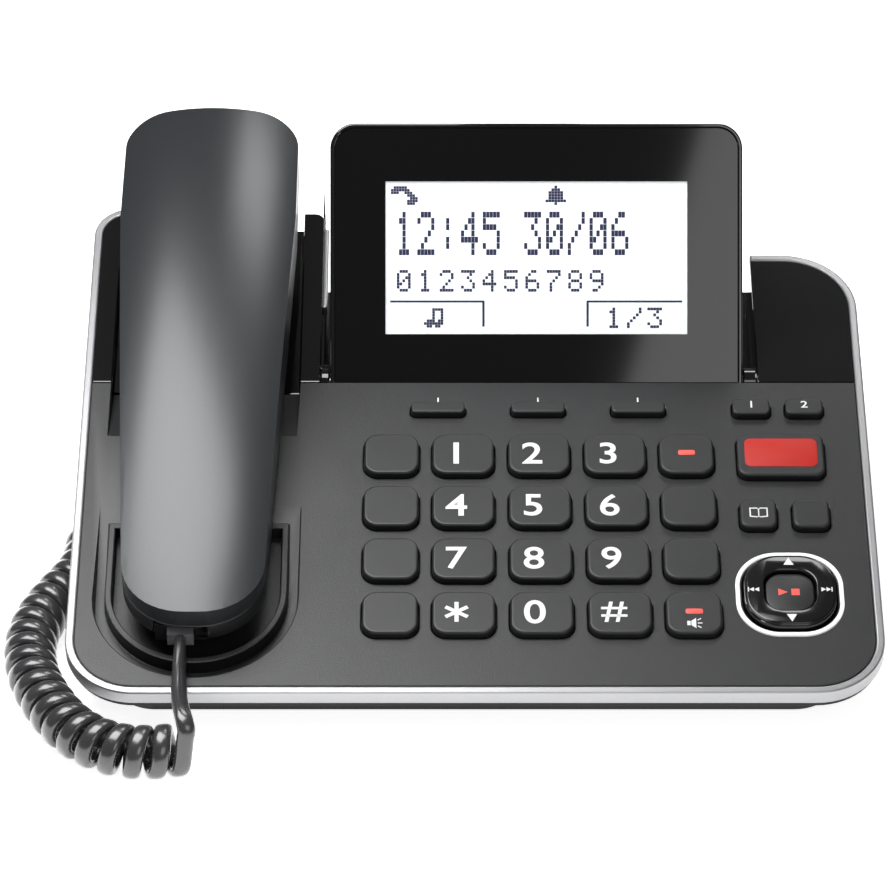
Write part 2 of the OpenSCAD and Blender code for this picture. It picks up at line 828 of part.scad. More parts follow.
module hook_plunger() {
    color([0.1, 0.1, 0.11]) on_face() translate([trough_x, hook_s]) {
        slab(hook_flange_n - hook_flange_t, hook_top) plate(hook_w, hook_l, 1);
        slab(hook_flange_n - hook_flange_t, hook_flange_n) plate(hook_w + 3, hook_l + 3, 1);
    }
}

// ---------------------------------------------------------------- keys

module push_key(k) {
    under = -wall - seam;
    shade = k[0] == "red_key" ? [0.8, 0.15, 0.12] : [0.17, 0.175, 0.185];
    color(shade) on_face() translate([k[1], k[2]]) {
        slab(under, key_rise - cap_edge) plate(k[3], k[4], k[5]);
        slab(key_rise - cap_edge, key_rise)
            plate(k[3] - 2 * cap_edge, k[4] - 2 * cap_edge, k[5] - cap_edge);
        slab(under - key_flange_t, under)
            plate(k[3] + 2 * flange_w, k[4] + 2 * flange_w, k[5] + flange_w);
        slab(mat_t - board_depth + key_travel + stem_clear, under - key_flange_t) circle(stem_d / 2);
    }
}

module nav_ring() {
    color([0.92, 0.92, 0.93]) on_face() slab(-ring_h, ring_h) ring_outline();
}

module nav_rocker() {
    color([0.1, 0.1, 0.11]) on_face() translate([nav_x, nav_s]) difference() {
        union() {
            slab(nav_pivot_n, nav_rise - cap_edge) plate(nav_d, nav_d, nav_r);
            slab(nav_rise - cap_edge, nav_rise)
                plate(nav_d - 2 * cap_edge, nav_d - 2 * cap_edge, nav_r - cap_edge);
        }
        slab(nav_pivot_n - 1, nav_rise + 1)
            plate(play_d + 2 * play_gap, play_d + 2 * play_gap, play_r + play_gap);
    }
}

module nav_gimbal() {
    top = nav_pivot_n - gimbal_gap;
    color([0.6, 0.6, 0.62]) on_face() translate([nav_x, nav_s]) slab(top - gimbal_t, top) difference() {
        circle(gimbal_d / 2);
        circle(gimbal_d / 2 - gimbal_w);
    }
}

module play_key() {
    color([0.14, 0.14, 0.15]) on_face() translate([nav_x, nav_s]) {
        slab(nav_pivot_n - gimbal_gap - gimbal_t, play_rise) plate(play_d, play_d, play_r);
        slab(mat_t - board_depth + key_travel + stem_clear, nav_pivot_n) circle(stem_d);
    }
}

// ---------------------------------------------------------------- display

// An outline run along the hinge's line from x0 to x1.
module hinge_line(x0, x1) {
    translate([x0, hinge_s, hinge_n]) rotate([90, 0, 90]) linear_extrude(x1 - x0) children();
}

module hinge_bosses() {
    hinge_line(finger_x1 - 1, hinge_x0 - gap) circle(hinge_boss_d / 2);
    hinge_line(hinge_x1 + gap, recess_x + 1) circle(hinge_boss_d / 2);
}

module disp_outline(inset) {
    f = max(disp_foot_r - inset, 0.4);
    c = disp_corner_r - inset;
    rounded(-disp_w / 2 + inset, disp_w / 2 - inset, -disp_below + inset, disp_h - inset, [f, f, c, c]);
}

module lcd_outline(d) {
    translate([-lcd_w / 2 - d, lcd_u - d]) square([lcd_w + 2 * d, lcd_h + 2 * d]);
}

module display_housing() {
    back = disp_front - disp_t;
    joint = disp_front - bezel_t;
    color([0.07, 0.07, 0.075]) on_display() difference() {
        slab(back, joint) disp_outline(0);
        difference() {
            slab(back + disp_wall, joint + eps) disp_outline(disp_wall);
            for (x = [-1, 1])
                box(x * (disp_w / 2 - hinge_grip / 2) - hinge_grip / 2 - 1,
                    x * (disp_w / 2 - hinge_grip / 2) + hinge_grip / 2 + 1,
                    -disp_below, hinge_boss_d / 2, back, joint);
        }
        for (x = [-1, 1]) translate([x * disp_w / 2, 0, 0]) rotate([0, 90, 0])
            cylinder(h = 2 * hinge_grip + 0.4, d = hinge_d + 2 * hinge_fit, center = true);
    }
}

module display_bezel() {
    color([0.03, 0.03, 0.035]) on_display() difference() {
        slab(disp_front - bezel_t, disp_front) disp_outline(0);
        slab(disp_front - lens_drop - lens_t, disp_front + eps) disp_outline(lens_edge);
        slab(disp_front - bezel_t - eps, disp_front) lcd_outline(1);
    }
}

module display_window() {
    color([0.1, 0.1, 0.12, 0.6]) on_display()
        slab(disp_front - lens_drop - lens_t, disp_front - lens_drop) disp_outline(lens_edge + 0.1);
}

module lcd_panel() {
    color([0.85, 0.88, 0.88]) on_display()
        slab(disp_front - bezel_t - lcd_t, disp_front - bezel_t) lcd_outline(lcd_border);
}

module hinge_pins() {
    color([0.7, 0.7, 0.72]) on_face() {
        hinge_line(finger_x1 - wall, hinge_x0 + hinge_grip) circle(hinge_d / 2);
        hinge_line(hinge_x1 - hinge_grip, recess_x + wall) circle(hinge_d / 2);
    }
}

// ---------------------------------------------------------------- handset

module hs_plan(inset) {
    hull() for (side = [-1, 1]) {
        translate([side * (hs_mic_w / 2 - hs_mic_r), hs_mic_r]) circle(hs_mic_r - inset);
        translate([side * (hs_ear_w / 2 - hs_ear_r), hs_taper_u]) circle(hs_ear_r - inset);
        translate([side * (hs_ear_w / 2 - hs_ear_r), hs_len - hs_ear_r]) circle(hs_ear_r - inset);
    }
}

// The handset's back: arched along its length and crowned across it in one sweep.
module hs_back(inset) {
    intersection() {
        slab(-eps, hs_back_h) hs_plan(inset);
        translate([0, hs_top_u, hs_back_h - hs_back_r]) rotate([0, 90, 0])
            rotate_extrude($fn = 720) translate([hs_back_r - hs_crown_r, 0])
                circle(hs_crown_r - inset, $fn = 240);
    }
}

module handset_outer() {
    color([0.24, 0.25, 0.26]) on_handset() difference() {
        intersection() {
            hs_back(0);
            slab(0, hs_back_h + 1) square(3 * hs_len, center = true);
        }
        hs_back(hs_wall);
    }
}

module cup_block(depth, w, l, u, inset) {
    slab(inset - depth, inset > 0 ? eps : -hs_wall)
        translate([0, u + l / 2]) plate(w - 2 * inset, l - 2 * inset, ear_corner_r - inset);
}

module socket_space(d) {
    box(socket_x - socket_w / 2 - d, socket_x + socket_w / 2 + d, socket_u - (d > 0 ? 4 : 0),
        socket_u + socket_len + d, socket_wz - socket_h / 2 - d, socket_wz + socket_h / 2 + d);
}

module handset_inner() {
    color([0.13, 0.135, 0.145]) on_handset() difference() {
        union() {
            slab(-hs_grip_h, 0) hs_plan(0);
            cup_block(ear_depth, ear_w, ear_len, ear_u, 0);
            cup_block(mic_depth, mic_w, mic_len, mic_u, 0);
        }
        slab(hs_wall - hs_grip_h, eps) hs_plan(hs_wall);
        cup_block(ear_depth, ear_w, ear_len, ear_u, hs_wall);
        cup_block(mic_depth, mic_w, mic_len, mic_u, hs_wall);
        socket_space(plug_gap);
        for (a = [0 : 60 : 300]) translate([6 * cos(a), ear_u + ear_len / 2 + 6 * sin(a)])
            slab(-ear_depth - 1, hs_wall - ear_depth + eps) circle(sound_hole_d / 2);
        translate([0, mic_u + mic_len / 2]) slab(-mic_depth - 1, hs_wall - mic_depth + eps)
            circle(sound_hole_d / 2);
    }
}

module earpiece() {
    color([0.5, 0.5, 0.52]) on_handset() translate([0, ear_u + ear_len / 2, hs_wall - ear_depth])
        cylinder(h = capsule_h, d = earpiece_d);
}

module mouthpiece() {
    color([0.6, 0.6, 0.62]) on_handset() translate([0, mic_u + mic_len / 2, hs_wall - mic_depth])
        cylinder(h = capsule_h, d = mouthpiece_d);
}

module handset_socket() {
    color([0.1, 0.1, 0.11]) on_handset() translate([socket_x, socket_u, socket_wz])
        modular_socket(socket_w, socket_len, socket_h);
}

// ---------------------------------------------------------------- cord

function unit(v) = v / norm(v);

// Way along the route at a point of it: from the point before to the point after.
function way(route, i) =
    unit(route[min(i + 1, len(route) - 1)] - route[max(i - 1, 0)]);

// A flat cord's section round c: n is its thin direction, b its wide one.
function section(c, n, b, sides) =
    [for (k = [0 : sides - 1])
        c + cord_t / 2 * cos(360 * k / sides) * n + cord_w / 2 * sin(360 * k / sides) * b];

// One closed tube through the sections, which all have the same number of sides.
module tube(sections, sides) {
    last = len(sections) - 1;
    points = [for (ring = sections) for (p = ring) p];
    walls = [for (i = [0 : last - 1]) for (k = [0 : sides - 1]) let (m = (k + 1) % sides)
        for (f = [[i * sides + k, i * sides + m, (i + 1) * sides + m],
                  [i * sides + k, (i + 1) * sides + m, (i + 1) * sides + k]]) f];
    near = [for (k = [1 : sides - 2]) [0, k + 1, k]];
    far = [for (k = [1 : sides - 2]) [last * sides, last * sides + k, last * sides + k + 1]];
    polyhedron(points, concat(walls, near, far));
}

// A stretch of free cord whose thin direction turns from a0 to a1, measured from across.
module free_cord(route, a0, a1) {
    last = len(route) - 1;
    tube([for (i = [0 : last]) let (t = way(route, i), a = a0 + (a1 - a0) * i / last,
            q = unit(cross([1, 0, 0], t)), p = cross(t, q), n = cos(a) * p + sin(a) * q)
        section(route[i], n, cross(t, n), lead_sides)], lead_sides);
}

// The curls' middle line, smooth through its points, and looked up by its length.
function smooth(r, i, f) =
    let (p0 = r[max(i - 1, 0)], p1 = r[i], p2 = r[i + 1], p3 = r[min(i + 2, len(r) - 1)])
    0.5 * (2 * p1 + (p2 - p0) * f + (2 * p0 - 5 * p1 + 4 * p2 - p3) * f * f
        + (3 * p1 - p0 - 3 * p2 + p3) * f * f * f);
axis_line = [for (i = [0 : len(coil_route) - 2], f = [0 : 0.1 : 0.95]) smooth(coil_route, i, f),
    coil_route[len(coil_route) - 1]];
axis_way = [for (i = 0, d = 0; i < len(axis_line);
    d = d + (i < len(axis_line) - 1 ? norm(axis_line[i + 1] - axis_line[i]) : 0), i = i + 1) d];
axis_len = axis_way[len(axis_way) - 1];
axis_tables = [for (c = [0 : 2]) [for (i = [0 : len(axis_line) - 1]) [axis_way[i], axis_line[i][c]]]];
function axis_at(d) = [for (c = [0 : 2]) lookup(d, axis_tables[c])];
function heading(d) = unit(axis_at(min(d + 1, axis_len)) - axis_at(max(d - 1, 0)));

// The curls wind down on their outer side and forward along the middle line.
curls = round(axis_len / curl_pitch);
coil_mid_r = (coil_d - cord_t) / 2;
coil_turn = coil_end_angle - coil_start_angle + 360 * (curls - 1);
coil_count = round(coil_turn / 360 * coil_steps);
function coil_angle(i) = coil_start_angle + coil_turn * i / coil_count;
function coil_radial(i) =
    let (h = heading(axis_len * i / coil_count), a = coil_angle(i))
    [-h.y * cos(a), h.x * cos(a), -sin(a)];
function coil_point(i) = axis_at(axis_len * i / coil_count) + coil_mid_r * coil_radial(i);
coil_line = [for (i = [0 : coil_count]) coil_point(i)];
coil_rings = concat(
    [end_ring(0, -1)],
    [for (i = [0 : coil_count]) let (t = way(coil_line, i), n = coil_radial(i))
        section(coil_line[i], n, cross(t, n), coil_sides)],
    [end_ring(coil_count, 1)]);

// The straight end of the coil's tube, one cord width long.
function end_ring(i, side) =
    let (t = way(coil_line, i), n = coil_radial(i))
    section(coil_line[i] + side * cord_w * t, n, cross(t, n), coil_sides);

// Least distance between neighbouring curls, over the points of their surfaces.
coil_gap = min([for (i = [1 : coil_count - coil_steps])
    for (j = [i + coil_steps - 2 : min(i + coil_steps + 2, coil_count)])
        for (p = coil_rings[i]) for (q = coil_rings[j]) norm(p - q)]);
function middle(ring) = [for (c = [0 : 2]) round(100 * ([for (p = ring) p[c]] * [for (p = ring) 1]) / len(ring)) / 100];
echo(curls = curls, coil_gap = coil_gap, coil_start = middle(coil_rings[0]),
    coil_end = middle(coil_rings[coil_count + 2]));

module cord_coil() {
    color([0.07, 0.07, 0.075]) tube(coil_rings, coil_sides);
}

module cord_lead() {
    color([0.07, 0.07, 0.075]) free_cord(lead_route, 0, -90);
}

module cord_tail() {
    color([0.07, 0.07, 0.075]) free_cord(tail_route, 0, 0);
}

module handset_plug() {
    color([0.25, 0.25, 0.27]) translate(lead_route[0] + lead_gap)
        rotate([face_angle + hs_pitch, 0, 0]) modular_plug();
}

module base_plug() {
    color([0.25, 0.25, 0.27]) translate(tail_route[len(tail_route) - 1]) rotate([face_angle, 0, 0])
        modular_plug();
}

front_cover();
rear_cover();
side_band();
bottom_case();
desk_stand();
rubber_feet();
case_screws();
main_board();
key_mat();
base_speaker();
rear_jacks();
handset_jack();
hook_plunger();
display_housing();
display_bezel();
display_window();
lcd_panel();
hinge_pins();
nav_ring();
nav_rocker();
nav_gimbal();
play_key();
handset_outer();
handset_inner();
earpiece();
mouthpiece();
handset_socket();
handset_plug();
base_plug();
cord_lead();
cord_coil();
cord_tail();
for (k = KEYS) push_key(k);
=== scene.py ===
import math
import bpy
import bmesh
from mathutils import Matrix, Quaternion, Vector


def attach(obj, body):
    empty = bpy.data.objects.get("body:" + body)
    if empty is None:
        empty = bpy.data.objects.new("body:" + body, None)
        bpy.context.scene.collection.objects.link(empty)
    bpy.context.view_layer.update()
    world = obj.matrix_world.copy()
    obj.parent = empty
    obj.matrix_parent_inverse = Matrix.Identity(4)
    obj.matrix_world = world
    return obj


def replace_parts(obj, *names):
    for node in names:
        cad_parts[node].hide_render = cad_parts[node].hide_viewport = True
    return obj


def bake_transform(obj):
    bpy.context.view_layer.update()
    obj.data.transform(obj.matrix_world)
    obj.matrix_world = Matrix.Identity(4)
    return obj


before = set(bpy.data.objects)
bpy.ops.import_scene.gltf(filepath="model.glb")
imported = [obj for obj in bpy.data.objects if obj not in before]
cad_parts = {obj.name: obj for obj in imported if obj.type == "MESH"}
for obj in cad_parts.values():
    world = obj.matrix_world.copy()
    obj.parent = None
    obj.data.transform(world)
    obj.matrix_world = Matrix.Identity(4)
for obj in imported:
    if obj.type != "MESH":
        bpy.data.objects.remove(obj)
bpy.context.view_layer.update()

# ---- camera
# The picture's own standpoint: a long lens, well in front of the desk and above it,
# looking down at 34 degrees.
LENS, LOOK_DOWN = 180.65, 34                     # mm, degrees
STANDPOINT = (-0.00906, -1.11208, 0.78164)
view = bpy.data.cameras.new("view")
view.lens = LENS
view.clip_end = 20
camera = bpy.data.objects.new("view", view)
camera.location = STANDPOINT
camera.rotation_euler = (math.radians(90 - LOOK_DOWN), 0, 0)
bpy.context.scene.collection.objects.link(camera)
bpy.context.scene.camera = camera

# ---- curly cord
# A flat four-wire telephone cord in gloss PVC. It leaves the handset's plug edge on, turns flat
# over the base's edge, winds in close curls round the base's corner and ends in the plug below.
CORD_W, CORD_T = 0.0051, 0.0034
LEAD = [(-84.4, -86.7, 22.2), (-84.4, -90.4, 21.1), (-84.4, -94.0, 20.2), (-84.3, -98.5, 19.5),
        (-84.1, -103.5, 19.2), (-83.8, -108.5, 19.2), (-83.2, -113.5, 19.5), (-82.4, -118.2, 19.8),
        (-81.6, -121.5, 19.2), (-81.1, -123.1, 17.4), (-81.4, -123.4, 15.5)]
CURL_LINE = [(-83, -119, 7.8), (-92, -120.4, 7.8), (-101, -119.3, 7.8), (-109, -115, 7.8),
             (-116, -108, 7.8), (-122, -98, 7.8), (-126.6, -87, 7.8), (-129, -76, 7.8),
             (-129, -65, 7.8), (-126.4, -54, 7.8), (-122, -44, 7.8), (-117.6, -35, 7.8),
             (-115.4, -26, 7.8), (-115.2, -17, 7.8)]
TAIL = [(-107.4, -16.2, 12.0), (-107.1, -16.1, 13.4), (-107.1, -15.3, 16.2), (-107.3, -13.3, 18.9),
        (-107.6, -10.1, 21.0), (-108, -6.5, 22.1), (-108.2, -2.9, 23.0), (-108.2, 0.7, 23.9)]
CURL_R = 0.00605                                 # the cord's middle line round the coil's
CURLS, CURL_STEPS = 22, 24                       # curls, and rings in a full one
FIRST_ANGLE, LAST_ANGLE = -30, 210               # degrees: the coil's start, and its last curl's part
LEAD_STEPS, TAIL_STEPS = 40, 24
SIDES, SQUARENESS = 16, 0.8                      # of the flat section: 1 gives an ellipse


def smooth_line(points, parts):
    """Points in metres along a smooth curve through points given in millimetres."""
    p = [Vector(q) / 1000 for q in points]
    line = []
    for i in range(len(p) - 1):
        a, b, c, d = p[max(i - 1, 0)], p[i], p[i + 1], p[min(i + 2, len(p) - 1)]
        for k in range(parts):
            f = k / parts
            line.append(0.5 * (2 * b + (c - a) * f + (2 * a - 5 * b + 4 * c - d) * f * f
                               + (3 * b - a - 3 * c + d) * f * f * f))
    return line + [p[-1]]


def evenly(line, count):
    """The same curve as count + 1 points an equal way apart."""
    way = [0.0]
    for a, b in zip(line, line[1:]):
        way.append(way[-1] + (b - a).length)
    out, j = [], 0
    for i in range(count + 1):
        d = way[-1] * i / count
        while j < len(line) - 2 and way[j + 1] < d:
            j += 1
        f = (d - way[j]) / max(way[j + 1] - way[j], 1e-9)
        out.append(line[j].lerp(line[j + 1], min(max(f, 0), 1)))
    return out


rings = []                       # (centre, thin direction) along the whole cord
lead_line = evenly(smooth_line(LEAD, 8), LEAD_STEPS)
for i, p in enumerate(lead_line):
    t = (lead_line[min(i + 1, LEAD_STEPS)] - lead_line[max(i - 1, 0)]).normalized()
    q = Vector((1, 0, 0)).cross(t).normalized()
    a = math.radians(-90 * i / LEAD_STEPS)
    rings.append((p, math.cos(a) * t.cross(q) + math.sin(a) * q))
turn = math.radians(360 * (CURLS - 1) + LAST_ANGLE)
count = round(CURL_STEPS * turn / math.tau)
axis_line = evenly(smooth_line(CURL_LINE, 10), count)
for i, p in enumerate(axis_line):
    h = (axis_line[min(i + 2, count)] - axis_line[max(i - 2, 0)]).normalized()
    a = math.radians(FIRST_ANGLE) + turn * i / count
    n = Vector((-h.y * math.cos(a), h.x * math.cos(a), -math.sin(a)))
    if 1 < i < count - 1:
        rings.append((p + CURL_R * n, n))
tail_line = evenly(smooth_line(TAIL, 8), TAIL_STEPS)
for i, p in enumerate(tail_line):
    t = (tail_line[min(i + 1, TAIL_STEPS)] - tail_line[max(i - 1, 0)]).normalized()
    q = Vector((1, 0, 0)).cross(t).normalized()
    rings.append((p, t.cross(q)))

bm = bmesh.new()
loops = []
for i, (c, n) in enumerate(rings):
    t = (rings[min(i + 1, len(rings) - 1)][0] - rings[max(i - 1, 0)][0]).normalized()
    b = t.cross(n).normalized()
    n = b.cross(t)
    loop = []
    for k in range(SIDES):
        a = math.tau * k / SIDES
        # a flat cord's section: an ellipse drawn towards a rounded rectangle
        x = math.copysign(abs(math.cos(a)) ** SQUARENESS, math.cos(a))
        y = math.copysign(abs(math.sin(a)) ** SQUARENESS, math.sin(a))
        loop.append(bm.verts.new(c + n * x * CORD_T / 2 + b * y * CORD_W / 2))
    loops.append(loop)
for l0, l1 in zip(loops, loops[1:]):
    for k in range(SIDES):
        bm.faces.new((l0[k], l0[(k + 1) % SIDES], l1[(k + 1) % SIDES], l1[k]))
bm.faces.new(list(reversed(loops[0])))
bm.faces.new(loops[-1])
bmesh.ops.recalc_face_normals(bm, faces=bm.faces)


class Value:
    """A number that a shader node gives. Python's operators on it add Math nodes."""

    def __init__(self, finish, socket):
        self.finish, self.socket = finish, socket

    def _math(self, operation, a, b):
        return self.finish.node("ShaderNodeMath", {"operation": operation}, {0: a, 1: b})

    def __add__(self, other):
        return self._math("ADD", self, other)

    def __mul__(self, other):
        return self._math("MULTIPLY", self, other)

    __radd__, __rmul__ = __add__, __mul__


class Finish:
    """One material. Constants go on the shader's own sockets; node() adds any other node."""

    def __init__(self, name, colour, roughness, **constants):
        self.material = bpy.data.materials.new(name)
        self.material.use_nodes = True
        self.tree = self.material.node_tree
        self.shader = next(n for n in self.tree.nodes if n.type == "BSDF_PRINCIPLED")
        self.shader.inputs["Base Color"].default_value = (*colour, 1)
        self.shader.inputs["Roughness"].default_value = roughness
        for socket, value in constants.items():
            self.shader.inputs[socket.replace("_", " ")].default_value = value

    def node(self, kind, settings=None, inputs=None, out=0):
        made = self.tree.nodes.new(kind)
        for key, value in (settings or {}).items():
            setattr(made, key, value)
        for key, value in (inputs or {}).items():
            if isinstance(value, Value):
                self.tree.links.new(value.socket, made.inputs[key])
            else:
                made.inputs[key].default_value = value
        return Value(self, made.outputs[out])

    def place(self):
        return self.node("ShaderNodeTexCoord", out="Object")

    def noise(self, scale, detail=2.0, roughness=0.5):
        return self.node("ShaderNodeTexNoise", None, {"Vector": self.place(), "Scale": scale,
                                                      "Detail": detail, "Roughness": roughness})

    def mix(self, factor, a, b):
        return self.node("ShaderNodeMix", {"data_type": "RGBA"},
                         {0: factor, 6: (*a, 1), 7: (*b, 1)}, out=2)

    def feed(self, socket, value):
        self.tree.links.new(value.socket, self.shader.inputs[socket])
        return self

    def grain(self, scale, depth, detail=2.0):
        """Fine moulded texture: a bump of the given depth in metres."""
        bump = self.node("ShaderNodeBump", None,
                         {"Height": self.noise(scale, detail), "Distance": depth, "Strength": 1.0})
        return self.feed("Normal", bump)

    def mottle(self, scale, a, b, rough_a, rough_b):
        """Slow change of colour and roughness over the surface."""
        n = self.noise(scale, 3.0)
        self.feed("Base Color", self.mix(n, a, b))
        return self.feed("Roughness", n * (rough_b - rough_a) + rough_a)


def make(name, bm, finish, body, smooth=35):
    """The finished piece: mesh, smooth shading broken at sharp edges, material, body and slot."""
    mesh = bpy.data.meshes.new(name)
    bm.to_mesh(mesh)
    bm.free()
    mesh.materials.append(finish.material)
    mesh.shade_smooth()
    mesh.set_sharp_from_angle(angle=math.radians(smooth))
    piece = bpy.data.objects.new(name, mesh)
    bpy.context.scene.collection.objects.link(piece)
    if body:
        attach(piece, body)
    return piece


cord_pvc = Finish("cord_pvc", (0.035, 0.035, 0.037), 0.26, Coat_Weight=1.0, Coat_Roughness=0.2)
cord_pvc.mottle(60, (0.031, 0.031, 0.033), (0.04, 0.04, 0.042), 0.22, 0.32).grain(900, 0.00002)
curly_cord = make("curly_cord", bm, cord_pvc, None, 60)
path = [c for c, n in rings]
cord_length = sum((b - a).length for a, b in zip(path, path[1:]))
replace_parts(curly_cord, "cord_lead", "cord_coil", "cord_tail")
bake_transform(curly_cord)

# ---- floor and lights
# A plain pale sweep in a dim studio, a close soft light over the left half, one high behind for
# the gloss panels' rear edges, and a slanted one beside the camera that the window mirrors.
bm = bmesh.new()
bmesh.ops.create_grid(bm, x_segments=1, y_segments=1, size=4)
paper = Finish("paper_sweep", (0.93, 0.93, 0.93), 0.9, Emission_Color=(1, 1, 1, 1),
               Emission_Strength=0.85)
paper.mottle(3, (0.93, 0.93, 0.93), (0.95, 0.95, 0.95), 0.85, 0.95)
mesh = bpy.data.meshes.new("floor")
bm.to_mesh(mesh)
bm.free()
mesh.materials.append(paper.material)
floor = bpy.data.objects.new("floor", mesh)
bpy.context.scene.collection.objects.link(floor)

world = bpy.data.worlds.new("studio")
world.use_nodes = True
world.node_tree.nodes["Background"].inputs["Color"].default_value = (1, 1, 1, 1)
world.node_tree.nodes["Background"].inputs["Strength"].default_value = 0.12
bpy.context.scene.world = world
bpy.context.scene.view_settings.view_transform = "Standard"


def soft_light(name, place, target, size, power, slant=0):
    light = bpy.data.lights.new(name, "AREA")
    light.shape = "RECTANGLE"
    light.size, light.size_y = size
    light.energy = power
    lamp = bpy.data.objects.new(name, light)
    lamp.location = place
    aim = (Vector(target) - Vector(place)).to_track_quat("-Z", "Y")
    lamp.rotation_euler = (aim @ Quaternion((0, 0, 1), math.radians(slant))).to_euler()
    bpy.context.scene.collection.objects.link(lamp)


soft_light("left_soft", (-0.18, 0.0, 0.50), (-0.11, -0.05, 0), (0.35, 0.42), 3.7)
soft_light("rear_soft", (0.26, 0.86, 1.0), (0.10, 0.06, 0), (0.34, 0.34), 2.2)
soft_light("window_soft", (0.36, -1.13, 0.84), (0.02, 0.05, 0.08), (0.5, 0.7), 2.6, -25)

# ---- covers
# Two injection-moulded ABS covers that meet in a seam below the display: the front one finely
# textured charcoal, the rear one polished black. Screws from below hold both to the case.


def softened(node, width, segments=2, keep=1.0, limit=30):
    """A copy of a CAD node's mesh, merged, its flat faces joined and its sharp edges rounded."""
    bm = bmesh.new()
    bm.from_mesh(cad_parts[node].data)
    bmesh.ops.remove_doubles(bm, verts=bm.verts, dist=2e-6)
    bmesh.ops.dissolve_limit(bm, angle_limit=math.radians(keep), use_dissolve_boundaries=False,
                             verts=bm.verts, edges=bm.edges)
    if width:
        sharp = [e for e in bm.edges if len(e.link_faces) == 2
                 and e.calc_face_angle() > math.radians(limit)]
        bmesh.ops.bevel(bm, geom=sharp, offset=width, offset_type="OFFSET", segments=segments,
                        profile=0.5, affect="EDGES", clamp_overlap=False, material=-1)
    return bm


textured_abs = Finish("textured_abs", (0.015, 0.0155, 0.0165), 0.38)
textured_abs.mottle(35, (0.0135, 0.014, 0.015), (0.017, 0.0175, 0.0185), 0.36, 0.41)
textured_abs.grain(2600, 0.00006, 3)
gloss_abs = Finish("gloss_abs", (0.004, 0.004, 0.0045), 0.08, Coat_Weight=0.5, Coat_Roughness=0.03)
gloss_abs.mottle(20, (0.0035, 0.0035, 0.004), (0.005, 0.005, 0.0055), 0.06, 0.11)
FLAT = 14                                        # degrees: keeps wide flat faces flat in shading
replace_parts(make("front_skin", softened("front_cover", 0.00035), textured_abs, "base",
                 FLAT), "front_cover")
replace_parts(make("rear_skin", softened("rear_cover", 0.0004), gloss_abs, "base",
                 FLAT), "rear_cover")

# ---- band, case, stand
# A satin silver band snaps round the covers' edge. The case below it and the wedge stand that it
# rests on are textured black ABS.
silver = Finish("silver_paint", (0.42, 0.42, 0.43), 0.34, Metallic=0.7)
silver.mottle(50, (0.4, 0.4, 0.41), (0.44, 0.44, 0.45), 0.3, 0.38).grain(3000, 0.00001)
case_abs = Finish("case_abs", (0.008, 0.008, 0.009), 0.55, Specular_IOR_Level=0.3)
case_abs.mottle(40, (0.007, 0.007, 0.0075), (0.01, 0.01, 0.011), 0.5, 0.62).grain(2000, 0.00005)
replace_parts(make("silver_edge", softened("side_band", 0.0006, 3), silver, "base",
                 FLAT), "side_band")
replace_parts(make("lower_case", softened("bottom_case", 0.0004), case_abs, "base",
                 FLAT), "bottom_case")
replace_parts(make("wedge_stand", softened("desk_stand", 0.0005), case_abs, "base",
                 FLAT), "desk_stand")

# ---- keys
# Satin charcoal caps on a rubber mat, each with softly rounded top edges, printed in white.
FACE = math.radians(14)
ORIGIN_Y = 0.0990823
on_face = Matrix.Translation((0, -ORIGIN_Y, 0.015)) @ Matrix.Rotation(FACE, 4, "X")


def tablet(w, l, r, z0, z1, edge, place, corner=6, rounding=4):
    """A rounded rectangle w by l with corner radius r from z0 to z1, its top edge rounded by edge."""
    bm = bmesh.new()
    bmesh.ops.create_grid(bm, x_segments=1, y_segments=1, size=0.5)
    bmesh.ops.scale(bm, vec=(w, l, 1), verts=bm.verts)
    bmesh.ops.bevel(bm, geom=list(bm.verts), offset=r, segments=corner, profile=0.5, affect="VERTICES",
                    clamp_overlap=False, material=-1)
    bmesh.ops.translate(bm, vec=(0, 0, z0), verts=bm.verts)
    top = bmesh.ops.extrude_face_region(bm, geom=list(bm.faces))["geom"]
    lifted = [v for v in top if isinstance(v, bmesh.types.BMVert)]
    bmesh.ops.translate(bm, vec=(0, 0, z1 - z0), verts=lifted)
    bmesh.ops.recalc_face_normals(bm, faces=bm.faces)
    if edge:
        rim = [e for e in bm.edges if all(abs(v.co.z - z1) < 1e-7 for v in e.verts)]
        bmesh.ops.bevel(bm, geom=rim, offset=edge, segments=rounding, profile=0.5, affect="EDGES",
                        clamp_overlap=False, material=-1)
    bm.transform(place)
    return bm


def at_face(x, s, n=0.0):
    return on_face @ Matrix.Translation((x / 1000, s / 1000, n / 1000))


key_abs = Finish("key_abs", (0.014, 0.0145, 0.0155), 0.38)
key_abs.mottle(90, (0.0125, 0.013, 0.014), (0.016, 0.0165, 0.0175), 0.35, 0.42)
key_abs.grain(3500, 0.00002)
key_red = Finish("key_red", (0.5, 0.024, 0.016), 0.45, Specular_IOR_Level=0.25)
key_red.mottle(80, (0.48, 0.022, 0.015), (0.53, 0.028, 0.018), 0.4, 0.5)
lamp_red = Finish("lamp_red", (0.8, 0.09, 0.07), 0.3, Emission_Strength=0.25,
                  Emission_Color=(0.9, 0.1, 0.08, 1))
white_print = Finish("white_print", (0.85, 0.85, 0.85), 0.5)
for ink in (lamp_red, white_print):
    ink.feed("Roughness", ink.noise(400) * 0.15 + 0.35)
PAD_X, PAD_PITCH, ROW_S, ROW_PITCH, SIDE_PITCH = 19.4, 22.6, 25.6, 20.5, 21.3
RIGHT_X, SOFT_PITCH, MEMORY_PITCH, MENU_PITCH = 91.4, 30.1, 15.9, 15.5
SOFT_S, MEMORY_S, MENU_S, RED_S = 105.9, 106.2, 63.6, 86.7
PAD_CAP, SIDE_CAP, RED_CAP = (18.3, 15.7, 4.2), (16.2, 15.7, 4.2), (25.9, 16.6, 3.0)
SOFT_CAP, MEMORY_CAP, MENU_CAP = (16.1, 4.4, 1.4), (11.2, 6.2, 1.8), (10.8, 10.8, 2.4)
